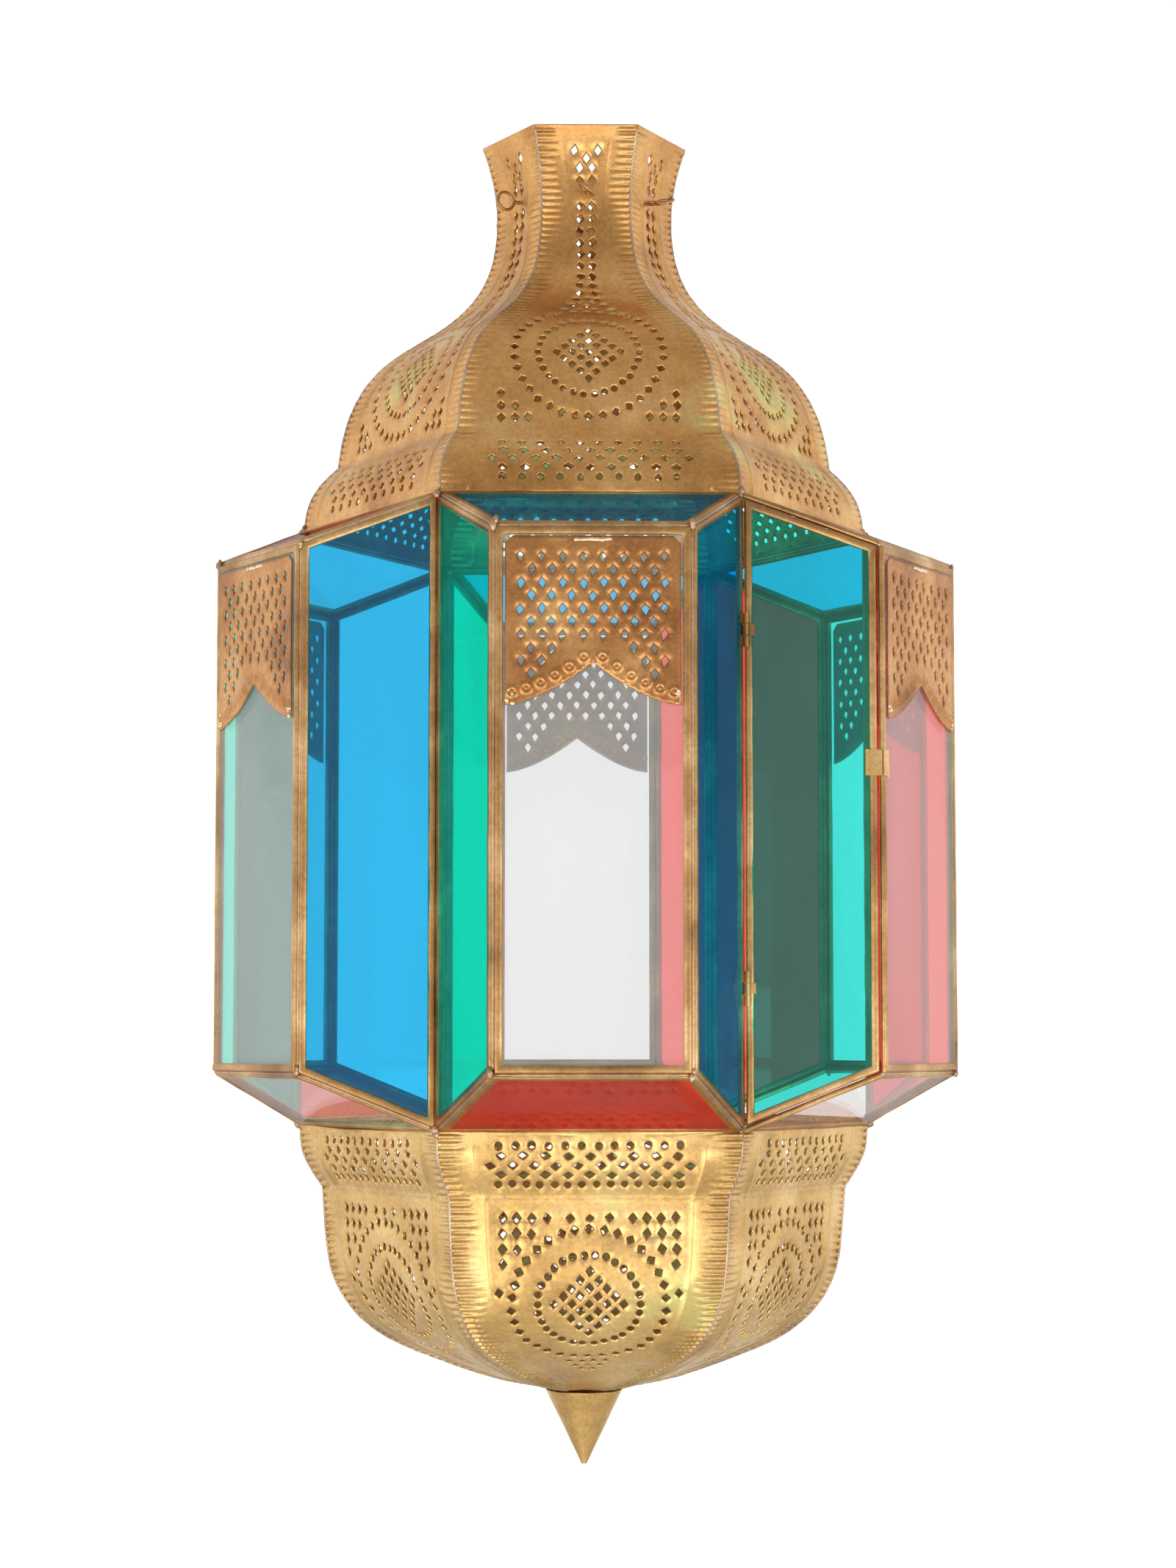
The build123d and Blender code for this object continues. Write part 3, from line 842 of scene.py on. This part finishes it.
def finish_piece(piece, material, body="lantern", slot=None, *nodes):
    """Gives a piece its material and its body, and hides the CAD nodes it stands for. The slot is not used.
    """
    piece.data.materials.append(material)
    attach(piece, body)
    if nodes:
        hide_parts(*nodes)
    return piece


# ---- the lantern ----

DOME_PLEATS = ([0, 30, 70, 110, 150, DOME.crease, DOME.length], [0.5, 0.6, 0.5, 0.9, 0.6, 0.35, 0.25])
BOWL_PLEATS = ([0, BOWL.crease - 4, BOWL.crease + 30, BOWL.length], [0.8, 0.6, 0.85, 0.8])
for bay in BAYS:
    sheet = gore(f"dome_sheet_{bay}", DOME, DOME_HOLES, bay, DOME_PLEATS, 13.0)
    finish_piece(sheet, BRASS["dome"], "lantern", "dome_brass", f"dome_gore_{bay}")
    sheet = gore(f"bowl_sheet_{bay}", BOWL, BOWL_HOLES, bay, BOWL_PLEATS, 16.5)
    finish_piece(sheet, BRASS["bowl"], "lantern", "bowl_brass", f"bowl_gore_{bay}")
    finish_piece(arch_plate(bay), BRASS["arch"], "lantern", "arch_brass", f"arch_plate_{bay}")
    finish_piece(plate_solder(bay), BRASS["bright"], "lantern", "arch_brass")

VISUAL_GAP = 0.55
DOOR_VISUAL_GAP = 1.5
for bay in BAYS:
    frames = Shape()
    for number, pane in enumerate(("front", "roof", "sill", "left", "right")):
        if (bay, pane) != (DOOR_BAY, "left"):
            add_came(frames, pane, VISUAL_GAP, bay * 7 + number)
    channels = frames.make(f"channels_{bay}", bay, 50)
    finish_piece(channels, BRASS["came"], "lantern", "came_brass", f"bay_came_{bay}")
    finish_piece(bay_seams(bay), BRASS["solder"], "lantern", "came_brass")
    if bay != DOOR_BAY - 1:
        finish_piece(valley_seam(bay), BRASS["solder"], "lantern", "came_brass")


def seam_line(profile, name, bay):
    """The soldered edge where a gore meets the next one to its right."""
    shape = Shape()
    path = []
    for down in np.arange(0.5, profile.length, 2.5):
        radius = float(np.interp(down, profile.down, profile.radius))
        height = float(np.interp(down, profile.down, profile.height))
        path.append((radius * 0.5, -radius * FLAT, height))
    radii = [0.6 + 0.35 * abs(wander(p, 7.0, bay)) for p in path]
    shape.tube([(x - 0.15, y + 0.26, z) for x, y, z in path], radii, sides=6)
    return shape.make(name, bay)


for bay in BAYS:
    finish_piece(seam_line(DOME, f"dome_seam_{bay}", bay), BRASS["seam"], "lantern", "dome_brass")
    finish_piece(seam_line(BOWL, f"bowl_seam_{bay}", bay), BRASS["seam"], "lantern", "bowl_brass")


def finial():
    """A hollow rolled cone of sheet with a blunt tip and an uneven top edge."""
    top, radius = mm(cone_high.z) + 1.6, mm(cone_high.x) + 0.5
    tip_z, tip_r = 0.4, 1.3
    around, up = 48, 16
    points, faces = [], []
    for layer, inset in ((0, 0.0), (1, 0.8)):
        for k in range(up + 1):
            t = k / up
            height = tip_z + layer * 1.2 + (top - tip_z - layer * 1.2) * t
            for s in range(around):
                angle = 2 * math.pi * s / around
                r = tip_r + (radius - tip_r) * t - inset
                r += 0.25 * wander((math.cos(angle) * 20, math.sin(angle) * 20, height), 14.0, 4) * t
                r = max(r, 0.2)
                lip = 0.5 * wander((math.cos(angle) * 9, math.sin(angle) * 9, 0), 6.0, 8) * (t == 1)
                points.append((r * math.cos(angle), r * math.sin(angle), height + lip))
    rows_each = (up + 1) * around
    for layer in range(2):
        for k in range(up):
            for s in range(around):
                a = layer * rows_each + k * around + s
                b = layer * rows_each + k * around + (s + 1) % around
                quad = (a, b, b + around, a + around)
                faces.append(quad if layer == 0 else quad[::-1])
    for s in range(around):
        a, b = up * around + s, up * around + (s + 1) % around
        faces.append((a, b, b + rows_each, a + rows_each))
    faces.append(tuple(range(around))[::-1])
    faces.append(tuple(rows_each + s for s in range(around)))
    return mesh_object("finial", points, faces, crease=60)


finish_piece(finial(), BRASS["bowl"], "lantern", "bowl_brass", "finial_cone")
tabs = Shape()
for k in range(6):
    angle = math.radians(60 * k + 30)
    spot = Vector((16.6 * math.cos(angle), 16.6 * math.sin(angle), mm(cone_high.z) + 0.6))
    tabs.blob(spot, 2.0, (1.1, 1.1, 0.7), k)
finish_piece(tabs.make("finial_solder"), BRASS["solder"], "lantern", "bowl_brass")

# The red sill panes have a thicker coat than the red side panes.
RED_SILL = glass("red_sill_glass", (0.55, 0.03, 0.02), (0.98, 0.12, 0.08), 0.38, gloss=0.12)
SLOTS = {part["node"]: part["material_slot"] for part in frame["record"]["subparts"]}
for name, node in frame["nodes"].items():
    kind = SLOTS[name]
    if kind in GLASS or name in ("door_hinge", "door_pins"):
        node.data.materials.clear()
        node.data.materials.append(GLASS[kind] if kind in GLASS else BRASS["came"])
    if kind == "red_glass" and name.startswith("sill_glass"):
        node.data.materials[0] = RED_SILL

# ---- door ----

HINGE_OUT = 4.0  # from the valley between two bays to the hinge line
KNUCKLE_R = 1.5
KNUCKLE_LEN = 5.0
HINGE_HEIGHTS = (232.0, 398.0)


def ribbon(shape, path, thick, low, high):
    """An upright strip of sheet that follows a level path."""
    path = [Vector(point) for point in path]
    points, count = [], len(path)
    for k, point in enumerate(path):
        along = (path[min(k + 1, count - 1)] - path[max(k - 1, 0)]).normalized()
        side = Vector((along.y, -along.x, 0)) * thick / 2
        for height in (low, high):
            for edge in (-1, 1):
                spot = point + side * edge
                points.append((spot.x, spot.y, height))
    faces = [(0, 1, 3, 2), (4 * count - 4, 4 * count - 2, 4 * count - 1, 4 * count - 3)]
    for k in range(count - 1):
        a, b = 4 * k, 4 * k + 4
        faces += [(a, a + 2, b + 2, b), (a + 1, b + 1, b + 3, a + 3)]
        faces += [(a, b, b + 1, a + 1), (a + 2, a + 3, b + 3, b + 2)]
    shape.add(points, faces)


door_far, door_near = pane_corners("left")[:2]
door_across = door_far - door_near
# level, from the bay's corner to the valley
door_along = Vector((door_across.x, door_across.y, 0)).normalized()
door_out = pane_axes("left")[3]
valley = Vector((-FAR[0], -FAR[1], 0))
hinge = valley + Vector((-0.5, -FLAT, 0)) * HINGE_OUT

door = Shape()
add_came(door, "left", DOOR_VISUAL_GAP, 90)
leaf_line = valley + door_out * 1.8
for middle in HINGE_HEIGHTS:
    low, high = middle - KNUCKLE_LEN / 2, middle + KNUCKLE_LEN / 2
    door.tube([(hinge.x, hinge.y, low), (hinge.x, hinge.y, high)], KNUCKLE_R, sides=20, lift=(1, 0, 0))
    ribbon(door, [leaf_line - door_along * 2.0, leaf_line - door_along * 6.2], 1.0, low, high)
finish_piece(door.make("door_frame", DOOR_BAY, 50), BRASS["came"], "door", "came_brass", "door_came")

# ---- latch ----

clasp_low, clasp_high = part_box("latch_clasp")
LATCH_LOW, LATCH_HIGH = mm(clasp_low.z), mm(clasp_high.z)
STRAP_OFF = 2.0  # from the panes' middle planes to the middle of the strap
STRAP_THICK = 0.5
CLASP_REACH = 7.4  # past the bay's corner, over the door
BASE_REACH = 4.8  # past the corner, over the front pane's channel
LIP_R = 1.2

bay_corner = Vector((-NEAR[0], -NEAR[1], 0))
tilt = (door_out + Vector((0, -1, 0))).normalized()
fold = bay_corner + tilt * (STRAP_OFF / -tilt.y)
fold_past = (bay_corner - fold).x

clasp = Shape()
tip = fold + door_along * (fold_past + CLASP_REACH - LIP_R)
path = [fold + door_along * 0.5, tip]
for k in range(1, 10):
    angle = math.pi * 1.15 * k / 9
    path.append(tip + door_out * LIP_R * (1 - math.cos(angle)) + door_along * LIP_R * math.sin(angle))
ribbon(clasp, path, STRAP_THICK, LATCH_LOW, LATCH_HIGH)
strap = clasp.make("clasp_strap", DOOR_BAY, 40)
finish_piece(strap, BRASS["latch"], "latch", "latch_brass", "latch_clasp")

base = Shape()
start = fold + Vector((0.4, 0, 0))
end = start + Vector((fold_past + BASE_REACH - 0.4, 0, 0))
ribbon(base, [start, end], STRAP_THICK, LATCH_LOW, LATCH_HIGH)
pad = bay_corner + Vector((1.2, -(CAME_HALF + STRAP_OFF) / 2, 0))
pad_thick = STRAP_OFF - CAME_HALF
ribbon(base, [pad, pad + Vector((BASE_REACH - 1.2, 0, 0))], pad_thick, LATCH_LOW, LATCH_HIGH)
finish_piece(base.make("clasp_base", DOOR_BAY, 40), BRASS["latch"], "lantern", "latch_brass", "latch_base")

splash = Shape()
for k in range(7):
    spot = bay_corner + Vector((BASE_REACH - 0.2, -1.9, LATCH_LOW + 2.0 * k - 0.3))
    splash.blob(spot, rng.uniform(0.35, 0.7), (0.9, 0.7, 1.6), k)
finish_piece(splash.make("latch_solder", DOOR_BAY), BRASS["bright"], "lantern", "latch_brass")

# ---- wire eyes ----

EYE_TURNS = (-45, 22, 60, 35, -30, 90)  # how far each eye is turned from lying flat
WIRE_R = 0.75
EYE_R = 4.5
NECK_OUT = 38.2  # axis to the neck's face at the eyes' height
EYE_Z = 627.0
EYE_OUT = 7.8
BEHIND_NECK = 2.2  # how far inside the neck's face the twisted legs start
LEG_APART = 0.58  # from the middle of the twist to the middle of each leg


def wire_eye(bay, turn):
    """One wire bent into an eye: it comes out through the neck, runs once round and goes back in, with its
    two legs twisted round each other and their ends bent aside inside."""
    angle = math.radians(turn)
    across = Vector((math.cos(angle), 0, math.sin(angle)))
    out = Vector((0, -1, 0))
    aside = out.cross(across)
    centre = out * (NECK_OUT + EYE_OUT) + Vector((0, 0, EYE_Z))
    back = NECK_OUT - BEHIND_NECK
    twist = 1.1 * math.pi
    legs = {}
    for way in (-1, 1):
        legs[way] = []
        for k in range(9):
            t = k / 8
            turned = twist * (1 - t)
            spot = out * (back + (EYE_OUT + BEHIND_NECK - EYE_R - 0.2) * t) + Vector((0, 0, EYE_Z))
            spread = LEG_APART * way
            legs[way].append(spot + across * spread * math.cos(turned) + aside * spread * math.sin(turned))
    ring = []
    for k in range(2, 31):
        around = 2 * math.pi * k / 32
        reach = -out * math.cos(around) + across * math.sin(around)
        ring.append(centre + reach * EYE_R + aside * 0.5 * math.cos(around / 2))
    tails = {way: legs[way][0] + across * 3.0 * way * math.cos(twist) for way in (-1, 1)}
    path = [tails[1]] + legs[1] + ring + legs[-1][::-1] + [tails[-1]]
    shape = Shape()
    shape.tube(path, WIRE_R, sides=12, lift=aside)
    return shape.make(f"wire_eye_{bay}", bay)


for bay, turn in zip(BAYS, EYE_TURNS):
    finish_piece(wire_eye(bay, turn), BRASS["wire"], f"eye_{bay}", "wire_brass", f"hook_{bay}")

# ---- floor, light and camera ----

ROOM_STRENGTH = 1.6

def studio_world():
    """A soft room, whose light goes by height from straight down at 0 to straight up at 1: white behind and
    beside the lantern at its own level, and dim on the camera's side, brightest there low down."""
    world = bpy.data.worlds.new("studio")
    world.use_nodes = True
    nodes, links = world.node_tree.nodes, world.node_tree.links
    nodes.clear()
    where, split = nodes.new("ShaderNodeTexCoord"), nodes.new("ShaderNodeSeparateXYZ")
    links.new(where.outputs["Generated"], split.inputs[0])
    height = nodes.new("ShaderNodeMath")
    height.operation = "MULTIPLY_ADD"
    links.new(split.outputs["Z"], height.inputs[0])
    height.inputs[1].default_value = 0.5
    height.inputs[2].default_value = 0.5
    around = [(0.25, 0.50), (0.0, 0.50), (0.40, 0.74), (0.62, 0.74), (0.85, 0.40)]
    ahead = [(0.30, 0.62), (0.0, 0.55), (0.43, 0.42), (0.52, 0.36), (0.68, 0.34), (0.90, 0.38)]
    sides = []
    for steps in (around, ahead):
        stops = [(place, grey(value)) for place, value in steps]
        sides.append(ramp(nodes, links, height.outputs[0], stops))
    turn = nodes.new("ShaderNodeMapRange")
    turn.interpolation_type = "SMOOTHSTEP"
    turn.inputs["From Min"].default_value = -0.75
    turn.inputs["From Max"].default_value = 0.0
    links.new(split.outputs["Y"], turn.inputs["Value"])
    colour = mix(nodes, links, turn.outputs[0], sides[1], sides[0])
    sky = nodes.new("ShaderNodeBackground")
    sky.inputs["Strength"].default_value = ROOM_STRENGTH
    links.new(colour, sky.inputs["Color"])
    output = nodes.new("ShaderNodeOutputWorld")
    links.new(sky.outputs[0], output.inputs[0])
    return world


bpy.context.scene.world = studio_world()

FLOOR_DROP = 1.2  # metres from the hanging lantern's tip down to the floor
FLOOR_R = 3.0


def pale_floor():
    """The plain floor of the room, far enough below that the camera looks out over it."""
    paint = bpy.data.materials.new("floor_paint")
    paint.use_nodes = True
    shader = paint.node_tree.nodes["Principled BSDF"]
    shader.inputs["Base Color"].default_value = (0.88, 0.88, 0.86, 1)
    shader.inputs["Roughness"].default_value = 0.9
    turns = [2 * math.pi * k / 96 for k in range(96)]
    rim = [(FLOOR_R * math.cos(turn), FLOOR_R * math.sin(turn), -FLOOR_DROP) for turn in turns]
    mesh = bpy.data.meshes.new("floor")
    mesh.from_pydata(rim, [], [tuple(range(len(rim)))])
    mesh.materials.append(paint)
    floor = bpy.data.objects.new("floor", mesh)
    bpy.context.scene.collection.objects.link(floor)


pale_floor()


def softbox(name, spot, size, power):
    """A square soft light at a spot in metres, aimed at the middle of the lantern."""
    light = bpy.data.lights.new(name, "AREA")
    light.size = size
    light.energy = power
    lamp = bpy.data.objects.new(name, light)
    bpy.context.scene.collection.objects.link(lamp)
    lamp.location = spot
    lamp.rotation_euler = (Vector((0, 0, 0.35)) - Vector(spot)).to_track_quat("-Z", "Y").to_euler()


softbox("key", (-0.9, -1.7, -0.5), 1.5, 18)
softbox("side", (1.1, -1.6, -0.3), 1.2, 12)

EYE_LEVEL = 0.2104  # the camera's place, in metres from the lantern's tip
DISTANCE = 1.596
ASIDE = -0.035
PAN = 0.0012  # radians that it looks to the right of the lantern's axis
PITCH = math.radians(4.5)
LENS = 73.4  # millimetres
camera_data = bpy.data.cameras.new("camera")
camera_data.sensor_width = 36.0
camera_data.lens = LENS
camera_data.clip_start = 0.05
camera = bpy.data.objects.new("camera", camera_data)
bpy.context.scene.collection.objects.link(camera)
camera.location = (ASIDE, -DISTANCE, EYE_LEVEL)
camera.rotation_euler = (math.pi / 2 + PITCH, 0, math.atan(ASIDE / DISTANCE) - PAN)
bpy.context.scene.camera = camera

scene = bpy.context.scene
scene.view_settings.view_transform = "Standard"
scene.cycles.transparent_max_bounces = 32
scene.cycles.max_bounces = 12
